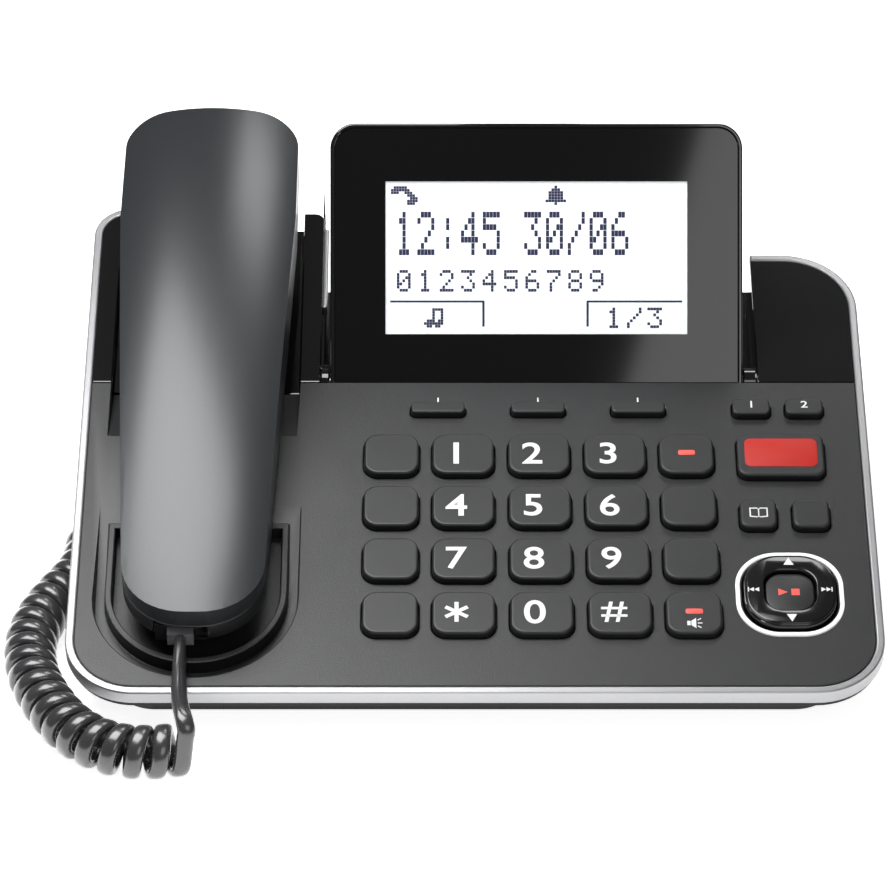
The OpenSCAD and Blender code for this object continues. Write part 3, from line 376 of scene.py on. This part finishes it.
KEY_TOP, KEY_FOOT, CAP_FLAT = 2.3, -0.0024, 10   # mm, metres, degrees
DIGITS = ["1", "2", "3", "4", "5", "6", "7", "8", "9", "star", "0", "hash"]
keys = [("key_" + d, PAD_X + (i % 3 - 1) * PAD_PITCH, ROW_S + (3 - i // 3) * ROW_PITCH, *PAD_CAP)
        for i, d in enumerate(DIGITS)]
for side, name in ((-1, "left_key_"), (1, "right_key_")):
    side_x = PAD_X + side * (PAD_PITCH + SIDE_PITCH)
    keys += [(f"{name}{i + 1}", side_x, ROW_S + (3 - i) * ROW_PITCH, *SIDE_CAP) for i in range(4)]
keys += [(f"soft_key_{i + 1}", PAD_X + (i - 1) * SOFT_PITCH, SOFT_S, *SOFT_CAP) for i in range(3)]
for kind, pitch, row, cap in (("memory", MEMORY_PITCH, MEMORY_S, MEMORY_CAP),
                              ("menu", MENU_PITCH, MENU_S, MENU_CAP)):
    keys += [(f"{kind}_key_{i + 1}", RIGHT_X + (i - 0.5) * pitch, row, *cap) for i in range(2)]
keys += [("red_key", RIGHT_X, RED_S, *RED_CAP)]
for name, x, s, w, l, r in keys:
    edge = 0.8 if l > 8 else 0.6
    bm = tablet(w / 1000, l / 1000, r / 1000, KEY_FOOT, KEY_TOP / 1000, edge / 1000,
                at_face(x, s), 10)
    cap = make(name + "_cap", bm, key_abs, name + "_body", CAP_FLAT)
    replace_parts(cap, name)

# ---- printing and lamps on the keys
# Figures and simple signs are pad printed in white. Two keys have a red lamp bar, and the wide
# one at the upper right carries a red inlay.


def figure(text, height, place, name, finish, body, wide=1.0, bold=0.0):
    """Printed characters, height in metres over the cap line, centred on place."""
    curve = bpy.data.curves.new(name, "FONT")
    curve.body = text
    curve.size = 1
    curve.offset = bold
    curve.resolution_u = 6
    curve.align_x = "CENTER"
    maker = bpy.data.objects.new(name, curve)
    bpy.context.scene.collection.objects.link(maker)
    bpy.context.view_layer.update()
    depsgraph = bpy.context.evaluated_depsgraph_get()
    flat = bpy.data.meshes.new_from_object(maker.evaluated_get(depsgraph))
    bpy.data.objects.remove(maker)
    bm = bmesh.new()
    bm.from_mesh(flat)
    ys = [v.co.y for v in bm.verts]
    xs = [v.co.x for v in bm.verts]
    k = height / (max(ys) - min(ys))
    bmesh.ops.translate(bm, vec=(-(max(xs) + min(xs)) / 2, -(max(ys) + min(ys)) / 2, 0),
                        verts=bm.verts)
    bmesh.ops.scale(bm, vec=(k * wide, k, 1), verts=bm.verts)
    return ink_piece(name, bm, place, finish, body)


INK = 0.00004                                    # the print's thickness
FIGURE_H, ZERO_H, MEMORY_FIGURE_H = 0.0084, 0.0088, 0.0027
FIGURE_X, HASH_X = -2.1, -1.8                    # from a cap's middle to its figure's
TICK_S = 110.2


def ink_piece(name, bm, place, finish, body):
    """A flat outline given the ink's thickness and set on the surface."""
    bmesh.ops.remove_doubles(bm, verts=bm.verts, dist=1e-7)
    lifted = bmesh.ops.extrude_face_region(bm, geom=list(bm.faces))["geom"]
    bmesh.ops.translate(bm, vec=(0, 0, INK),
                        verts=[v for v in lifted if isinstance(v, bmesh.types.BMVert)])
    bmesh.ops.recalc_face_normals(bm, faces=bm.faces)
    bm.transform(place)
    return make(name, bm, finish, body)


def outline(bm, points):
    """One flat face through points given in millimetres."""
    bm.faces.new([bm.verts.new((x / 1000, y / 1000, 0)) for x, y in points])


def bar(bm, x, y, w, h):
    outline(bm, [(x - w / 2, y - h / 2), (x + w / 2, y - h / 2),
                 (x + w / 2, y + h / 2), (x - w / 2, y + h / 2)])


spot = {name: (x, s) for name, x, s, w, l, r in keys}
for name in DIGITS[:9] + ["0"]:
    x, s = spot["key_" + name]
    figure(name, FIGURE_H if name != "0" else ZERO_H, at_face(x + FIGURE_X, s, KEY_TOP),
           "figure_" + name, white_print, f"key_{name}_body", 1.12, 0.012)
bm = bmesh.new()
for k in range(3):
    a = math.pi * k / 3 + math.pi / 2
    dx, dy = math.cos(a), math.sin(a)
    w, r = 0.6, 3.7
    outline(bm, [(r * dx - w * dy, r * dy + w * dx), (-r * dx - w * dy, -r * dy + w * dx),
                 (-r * dx + w * dy, -r * dy - w * dx), (r * dx + w * dy, r * dy - w * dx)])
    bmesh.ops.translate(bm, vec=(0, 0, 0.000002 * k), verts=bm.verts[-4:])
x, s = spot["key_star"]
ink_piece("figure_star", bm, at_face(x + FIGURE_X, s, KEY_TOP), white_print, "key_star_body")
bm = bmesh.new()
for y in (-1.4, 1.4):
    bar(bm, 0, y, 7.6, 0.9)
for x0 in (-1.6, 1.6):
    outline(bm, [(x0 - 1.3, -3.8), (x0 - 0.2, -3.8), (x0 + 1.3, 3.8), (x0 + 0.2, 3.8)])
x, s = spot["key_hash"]
ink_piece("figure_hash", bm, at_face(x + HASH_X, s, KEY_TOP), white_print, "key_hash_body")
for name in ("1", "2"):
    x, s = spot["memory_key_" + name]
    figure(name, MEMORY_FIGURE_H, at_face(x, s + 0.6, KEY_TOP), "memory_figure_" + name,
           white_print, f"memory_key_{name}_body", 1.2, 0.01)
x, s = spot["menu_key_1"]
bm = bmesh.new()
for side in (-1, 1):
    lower_edge = [(0.15, -1.5), (0.5, -1.9), (2.7, -1.6), (2.7, -1.2), (0.6, -1.45)]
    outer_edge = [(2.3, -1.2), (2.7, -1.2), (2.7, 1.9), (2.3, 1.9)]
    upper_edge = [(0.15, 1.2), (0.5, 1.55), (2.3, 1.55), (2.3, 1.9), (0.4, 1.95)]
    for page in (lower_edge, outer_edge, upper_edge):
        outline(bm, [(side * px, py) for px, py in page][::side])
bar(bm, 0, -0.1, 0.34, 3.2)
ink_piece("book_sign", bm, at_face(x, s, KEY_TOP), white_print, "menu_key_1_body")
x, s = spot["right_key_4"]
bm = bmesh.new()
outline(bm, [(-2.2, -0.8), (-1.2, -0.8), (-1.2, 0.8), (-2.2, 0.8)])
outline(bm, [(-1.0, -0.8), (0.4, -1.9), (0.4, 1.9), (-1.0, 0.8)])
bar(bm, 1.5, 0, 1.3, 0.35)
for side in (-1, 1):
    outline(bm, [(0.9, side * 0.9), (1.9, side * 1.6),
                 (1.75, side * 1.9), (0.75, side * 1.2)][::side])
ink_piece("speaker_sign", bm, at_face(x, s - 4.2, KEY_TOP), white_print, "right_key_4_body")
for name in ("right_key_1", "right_key_4"):
    x, s = spot[name]
    lamp = tablet(0.0050, 0.0019, 0.0005, -0.0003, 0.00015, 0.0001,
                  at_face(x, s + 0.2, KEY_TOP), 3, 2)
    make(name + "_lamp", lamp, lamp_red, name + "_body")
x, s = spot["red_key"]
inlay = tablet(0.0217, 0.0112, 0.0020, -0.0004, 0.00015, 0.0002,
               at_face(x, s + 0.6, KEY_TOP), 5, 2)
make("red_inlay", inlay, key_red, "red_key_body")
for i in range(3):
    bm = bmesh.new()
    bar(bm, PAD_X + (i - 1) * SOFT_PITCH, TICK_S, 0.45, 2.7)
    ink_piece(f"tick_{i + 1}", bm, at_face(0, 0, 0.02), white_print, "base")

# ---- navigation disc
# A gloss black rocker pressed at its four sides, round a satin centre key, inside a white ring
# with a faint glow that is painted light, making the ring look lit.
NAV_X, NAV_S, NAV_TOP, PLAY_TOP = RIGHT_X, 34.0, 2.4, 1.2
ARROW_OUT, SKIP_OUT = 10.4, 10.3                 # from the disc's middle to its signs
rocker_abs = Finish("rocker_abs", (0.006, 0.006, 0.0065), 0.14, Coat_Weight=0.4,
                    Coat_Roughness=0.05)
rocker_abs.mottle(60, (0.005, 0.005, 0.0055), (0.007, 0.007, 0.0075), 0.12, 0.18)
# The ring's emission is painted light: a glow that makes the white trim ring look brighter.
ring_white_painted_glow = Finish("ring_white_painted_glow", (0.85, 0.85, 0.86), 0.3, Emission_Color=(1, 1, 1, 1),
                    Emission_Strength=0.3)
ring_white_painted_glow.mottle(80, (0.83, 0.83, 0.84), (0.87, 0.87, 0.88), 0.26, 0.36)
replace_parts(make("rocker_cap", softened("nav_rocker", 0.00055, 3), rocker_abs,
                 "nav_rocker_body"), "nav_rocker")
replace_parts(make("white_ring", softened("nav_ring", 0.0002), ring_white_painted_glow, "base"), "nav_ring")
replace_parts(make("play_cap", softened("play_key", 0.0006, 3), key_abs, "play_key_body"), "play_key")
for side, name in ((1, "up"), (-1, "down")):
    bm = bmesh.new()
    outline(bm, [(-1.5, -side * 1.1), (1.5, -side * 1.1), (0, side * 1.7)][::side])
    ink_piece("arrow_" + name, bm, at_face(NAV_X, NAV_S + side * ARROW_OUT, NAV_TOP), white_print,
              "nav_rocker_body")
for side, name in ((1, "next"), (-1, "back")):
    bm = bmesh.new()
    for x0 in (-1.3, 0.2):
        outline(bm, [(side * x0, -0.8), (side * (x0 + 1.4), 0), (side * x0, 0.8)][::side])
    bar(bm, side * 1.8, 0, 0.35, 1.6)
    ink_piece("skip_" + name, bm, at_face(NAV_X + side * SKIP_OUT, NAV_S, NAV_TOP), white_print,
              "nav_rocker_body")
bm = bmesh.new()
outline(bm, [(-3.4, -1.3), (-0.6, 0), (-3.4, 1.3)])
bar(bm, 1.6, 0, 2.4, 2.4)
ink_piece("play_stop_sign", bm, at_face(NAV_X, NAV_S, PLAY_TOP), lamp_red, "play_key_body")

# ---- display
# A shallow housing on two pins. Its bezel holds a window with a black border printed behind it,
# and the pale liquid crystal panel shows through the clear part in dark dots.
HINGE_S, HINGE_N, OPEN = 122.9, -5.0, math.radians(42)
DISP_X, DISP_FRONT, DISP_BELOW, DISP_H, DISP_W = 19.1, 5.0, 1.8, 78.2, 125.0
LCD_W, LCD_H, LCD_U = 91.5, 46.3, 14.3
WINDOW_EDGE, WINDOW_SUNK, GLASS_SUNK = 1.5, 1.2, 0.75
WINDOW_R, WINDOW_T = 0.0061, 0.001
on_display = at_face(DISP_X, HINGE_S, HINGE_N) @ Matrix.Rotation(OPEN, 4, "X")
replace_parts(make("display_back", softened("display_housing", 0.0007, 3), gloss_abs, "display",
                 FLAT), "display_housing")
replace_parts(make("display_frame", softened("display_bezel", 0.0005, 3), gloss_abs, "display",
                 FLAT), "display_bezel")
window_black = Finish("window_black", (0.0025, 0.0025, 0.003), 0.05)
window_black.mottle(12, (0.0025, 0.0025, 0.003), (0.003, 0.003, 0.0035), 0.04, 0.07)
# The panel's emission is painted light: a faint glow that stands in for light falling on the panel.
lcd_pale = Finish("lcd_pale", (0.78, 0.82, 0.84), 0.35, Emission_Strength=0.3,
                  Emission_Color=(0.9, 0.95, 0.96, 1))
lcd_pale.mottle(25, (0.77, 0.81, 0.83), (0.80, 0.84, 0.86), 0.32, 0.4)
lcd_dot = Finish("lcd_dot", (0.012, 0.012, 0.06), 0.5)
lcd_dot.mottle(200, (0.01, 0.01, 0.055), (0.015, 0.015, 0.07), 0.45, 0.55)
window_w = DISP_W - 2 * WINDOW_EDGE
window_l = DISP_H + DISP_BELOW - 2 * WINDOW_EDGE
mid_u = (DISP_H - DISP_BELOW) / 2
bm = bmesh.new()
bmesh.ops.create_grid(bm, x_segments=1, y_segments=1, size=0.5)
bmesh.ops.scale(bm, vec=(window_w / 1000, window_l / 1000, 1), verts=bm.verts)
top_corners = [v for v in bm.verts if v.co.y > 0]
bmesh.ops.bevel(bm, geom=top_corners, offset=WINDOW_R, segments=10, profile=0.5,
                affect="VERTICES", clamp_overlap=False, material=-1)
bmesh.ops.translate(bm, vec=(0, mid_u / 1000, 0), verts=bm.verts)
clear_edges = (((-LCD_W / 2, 0), (1, 0)), ((LCD_W / 2, 0), (1, 0)),
               ((0, LCD_U), (0, 1)), ((0, LCD_U + LCD_H), (0, 1)))
for co, no in clear_edges:
    bmesh.ops.bisect_plane(bm, geom=bm.verts[:] + bm.edges[:] + bm.faces[:],
                           plane_co=(co[0] / 1000, co[1] / 1000, 0), plane_no=(*no, 0))
clear = [f for f in bm.faces if abs(f.calc_center_median().x) < LCD_W / 2000
         and LCD_U / 1000 < f.calc_center_median().y < (LCD_U + LCD_H) / 1000]
bmesh.ops.delete(bm, geom=clear, context="FACES")
lifted = bmesh.ops.extrude_face_region(bm, geom=list(bm.faces))["geom"]
bmesh.ops.translate(bm, vec=(0, 0, WINDOW_T),
                    verts=[v for v in lifted if isinstance(v, bmesh.types.BMVert)])
bmesh.ops.recalc_face_normals(bm, faces=bm.faces)
bm.transform(on_display @ Matrix.Translation((0, 0, (DISP_FRONT - WINDOW_SUNK) / 1000)))
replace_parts(make("window_border", bm, window_black, "display"), "display_window")
GLASS = DISP_FRONT - GLASS_SUNK
lcd = tablet((LCD_W + 2) / 1000, (LCD_H + 2) / 1000, 0.0005, -0.0014, 0, 0,
             on_display @ Matrix.Translation((0, (LCD_U + LCD_H / 2) / 1000, GLASS / 1000)), 2)
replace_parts(make("lcd_glass", lcd, lcd_pale, "display"), "lcd_panel")

GLYPHS = {"0": "01110 10001 10011 10101 11001 10001 01110",
          "1": "00100 01100 00100 00100 00100 00100 01110",
          "2": "01110 10001 00001 00010 00100 01000 11111",
          "3": "11111 00010 00100 00010 00001 10001 01110",
          "4": "00010 00110 01010 10010 11111 00010 00010",
          "5": "11111 10000 11110 00001 00001 10001 01110",
          "6": "00110 01000 10000 11110 10001 10001 01110",
          "7": "11111 00001 00010 00100 01000 01000 01000",
          "8": "01110 10001 10001 01110 10001 10001 01110",
          "9": "01110 10001 10001 01111 00001 00010 01100",
          ":": "00000 00100 00100 00000 00100 00100 00000",
          "/": "00001 00001 00010 00100 01000 10000 10000"}
SIGNS = {"handset": "0111110000 1111111000 1110011100 0000001110 "
                    "0000000111 0000001111 0000001110",
         "bell": "00010000 00111000 01111100 01111100 01111100 11111110 00010000",
         "note": "0001111 0001001 0001001 0001001 0111011 1111111 0110110"}


def dots(bm, rows, x, u, dot_x, dot_u):
    """Dark dots of a sign whose rows are strings of 0 and 1, its upper left corner at x, u."""
    for j, row in enumerate(rows.split()):
        for i, lit in enumerate(row):
            if lit == "1":
                bar(bm, x + (i + 0.5) * dot_x, u - (j + 0.5) * dot_u, dot_x * 0.94, dot_u * 0.94)


bm = bmesh.new()
left = -LCD_W / 2
rows_shown = (("12:45", left + 3.0, 51.5, 1.05, 1.9, 6.3), ("30/06", left + 42.0, 51.5, 1.05, 1.9, 6.3),
              ("0123456789", left + 3.4, 33.8, 0.85, 0.95, 6.5))
for text, x, u, dot_x, dot_u, step in rows_shown:
    for i, mark in enumerate(text):
        dots(bm, GLYPHS[mark], x + i * step * (dot_x if text[2] in ":/" else 1.0), u, dot_x, dot_u)
dots(bm, SIGNS["handset"], left + 1.6, 59.2, 0.82, 0.82)
dots(bm, SIGNS["bell"], left + 48.5, 59.4, 0.9, 0.85)
dots(bm, SIGNS["note"], left + 11.6, 22.2, 0.85, 0.85)
for x0, x1, post in ((left + 1.4, left + 30.0, left + 29.7),
                     (left + 61.0, left + 90.0, left + 61.3)):
    bar(bm, (x0 + x1) / 2, 24.2, x1 - x0, 0.6)
    bar(bm, post, 20.4, 0.7, 7.6)
for i, mark in enumerate("1/3"):
    dots(bm, GLYPHS[mark], left + 67 + i * 6.2, 22.4, 0.9, 0.9)
ink_piece("lcd_dots", bm, on_display @ Matrix.Translation((0, 0, GLASS / 1000)), lcd_dot,
          "display")

# ---- handset
# Two shells in ABS: the back painted a satin graphite with fine flake, the front textured
# charcoal with the ear and mouth cups, welded together along the seam.
handset_paint = Finish("handset_paint", (0.02, 0.022, 0.024), 0.3, Metallic=0.2, Coat_Weight=0.4,
                       Coat_Roughness=0.25)
handset_paint.mottle(2500, (0.016, 0.018, 0.02), (0.028, 0.031, 0.034), 0.28, 0.36)
handset_paint.grain(3200, 0.000015)
CURVED = 12                                      # degrees: the back's own curve stays smooth
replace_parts(make("handset_back", softened("handset_outer", 0, 1, 0.02), handset_paint,
                 "handset", CURVED), "handset_outer")
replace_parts(make("handset_front", softened("handset_inner", 0.0006, 3), textured_abs,
                 "handset"), "handset_inner")

# ---- small fittings
# Rubber feet, zinc screws, sockets and plugs, the board, the mat and the speaker keep the frame's
# shapes and get their finish here.
rubber = Finish("foot_rubber", (0.015, 0.015, 0.015), 0.8)
rubber.mottle(120, (0.012, 0.012, 0.012), (0.018, 0.018, 0.018), 0.72, 0.88).grain(2500, 0.00003)
zinc = Finish("zinc_plate", (0.55, 0.55, 0.56), 0.3, Metallic=1.0)
zinc.mottle(200, (0.5, 0.5, 0.51), (0.6, 0.6, 0.61), 0.25, 0.4)
socket_black = Finish("socket_black", (0.012, 0.012, 0.013), 0.35)
socket_black.mottle(150, (0.01, 0.01, 0.011), (0.015, 0.015, 0.016), 0.3, 0.42)
plug_clear = Finish("plug_clear", (0.16, 0.16, 0.17), 0.12, Coat_Weight=0.6, Coat_Roughness=0.05)
plug_clear.mottle(300, (0.12, 0.12, 0.13), (0.22, 0.22, 0.23), 0.1, 0.18)
board = Finish("board_epoxy", (0.02, 0.11, 0.045), 0.4)
board.mottle(300, (0.016, 0.09, 0.035), (0.03, 0.14, 0.06), 0.35, 0.5)
silicone = Finish("mat_silicone", (0.3, 0.31, 0.32), 0.6)
silicone.mottle(100, (0.28, 0.29, 0.3), (0.33, 0.34, 0.35), 0.55, 0.68)
cone = Finish("speaker_cone", (0.02, 0.02, 0.02), 0.7)
cone.mottle(220, (0.016, 0.016, 0.016), (0.028, 0.028, 0.028), 0.62, 0.8)
fittings = ((rubber, ["rubber_feet"]),
            (zinc, ["case_screws", "hinge_pins", "nav_gimbal", "mouthpiece"]),
            (socket_black, ["rear_jacks", "handset_jack", "handset_socket", "hook_plunger"]),
            (plug_clear, ["handset_plug", "base_plug"]), (board, ["main_board"]),
            (silicone, ["key_mat"]), (cone, ["base_speaker", "earpiece"]))
for finish, nodes in fittings:
    for name in nodes:
        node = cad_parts[name]
        if not node.material_slots:
            node.data.materials.append(None)
        for held in node.material_slots:
            held.material = finish.material
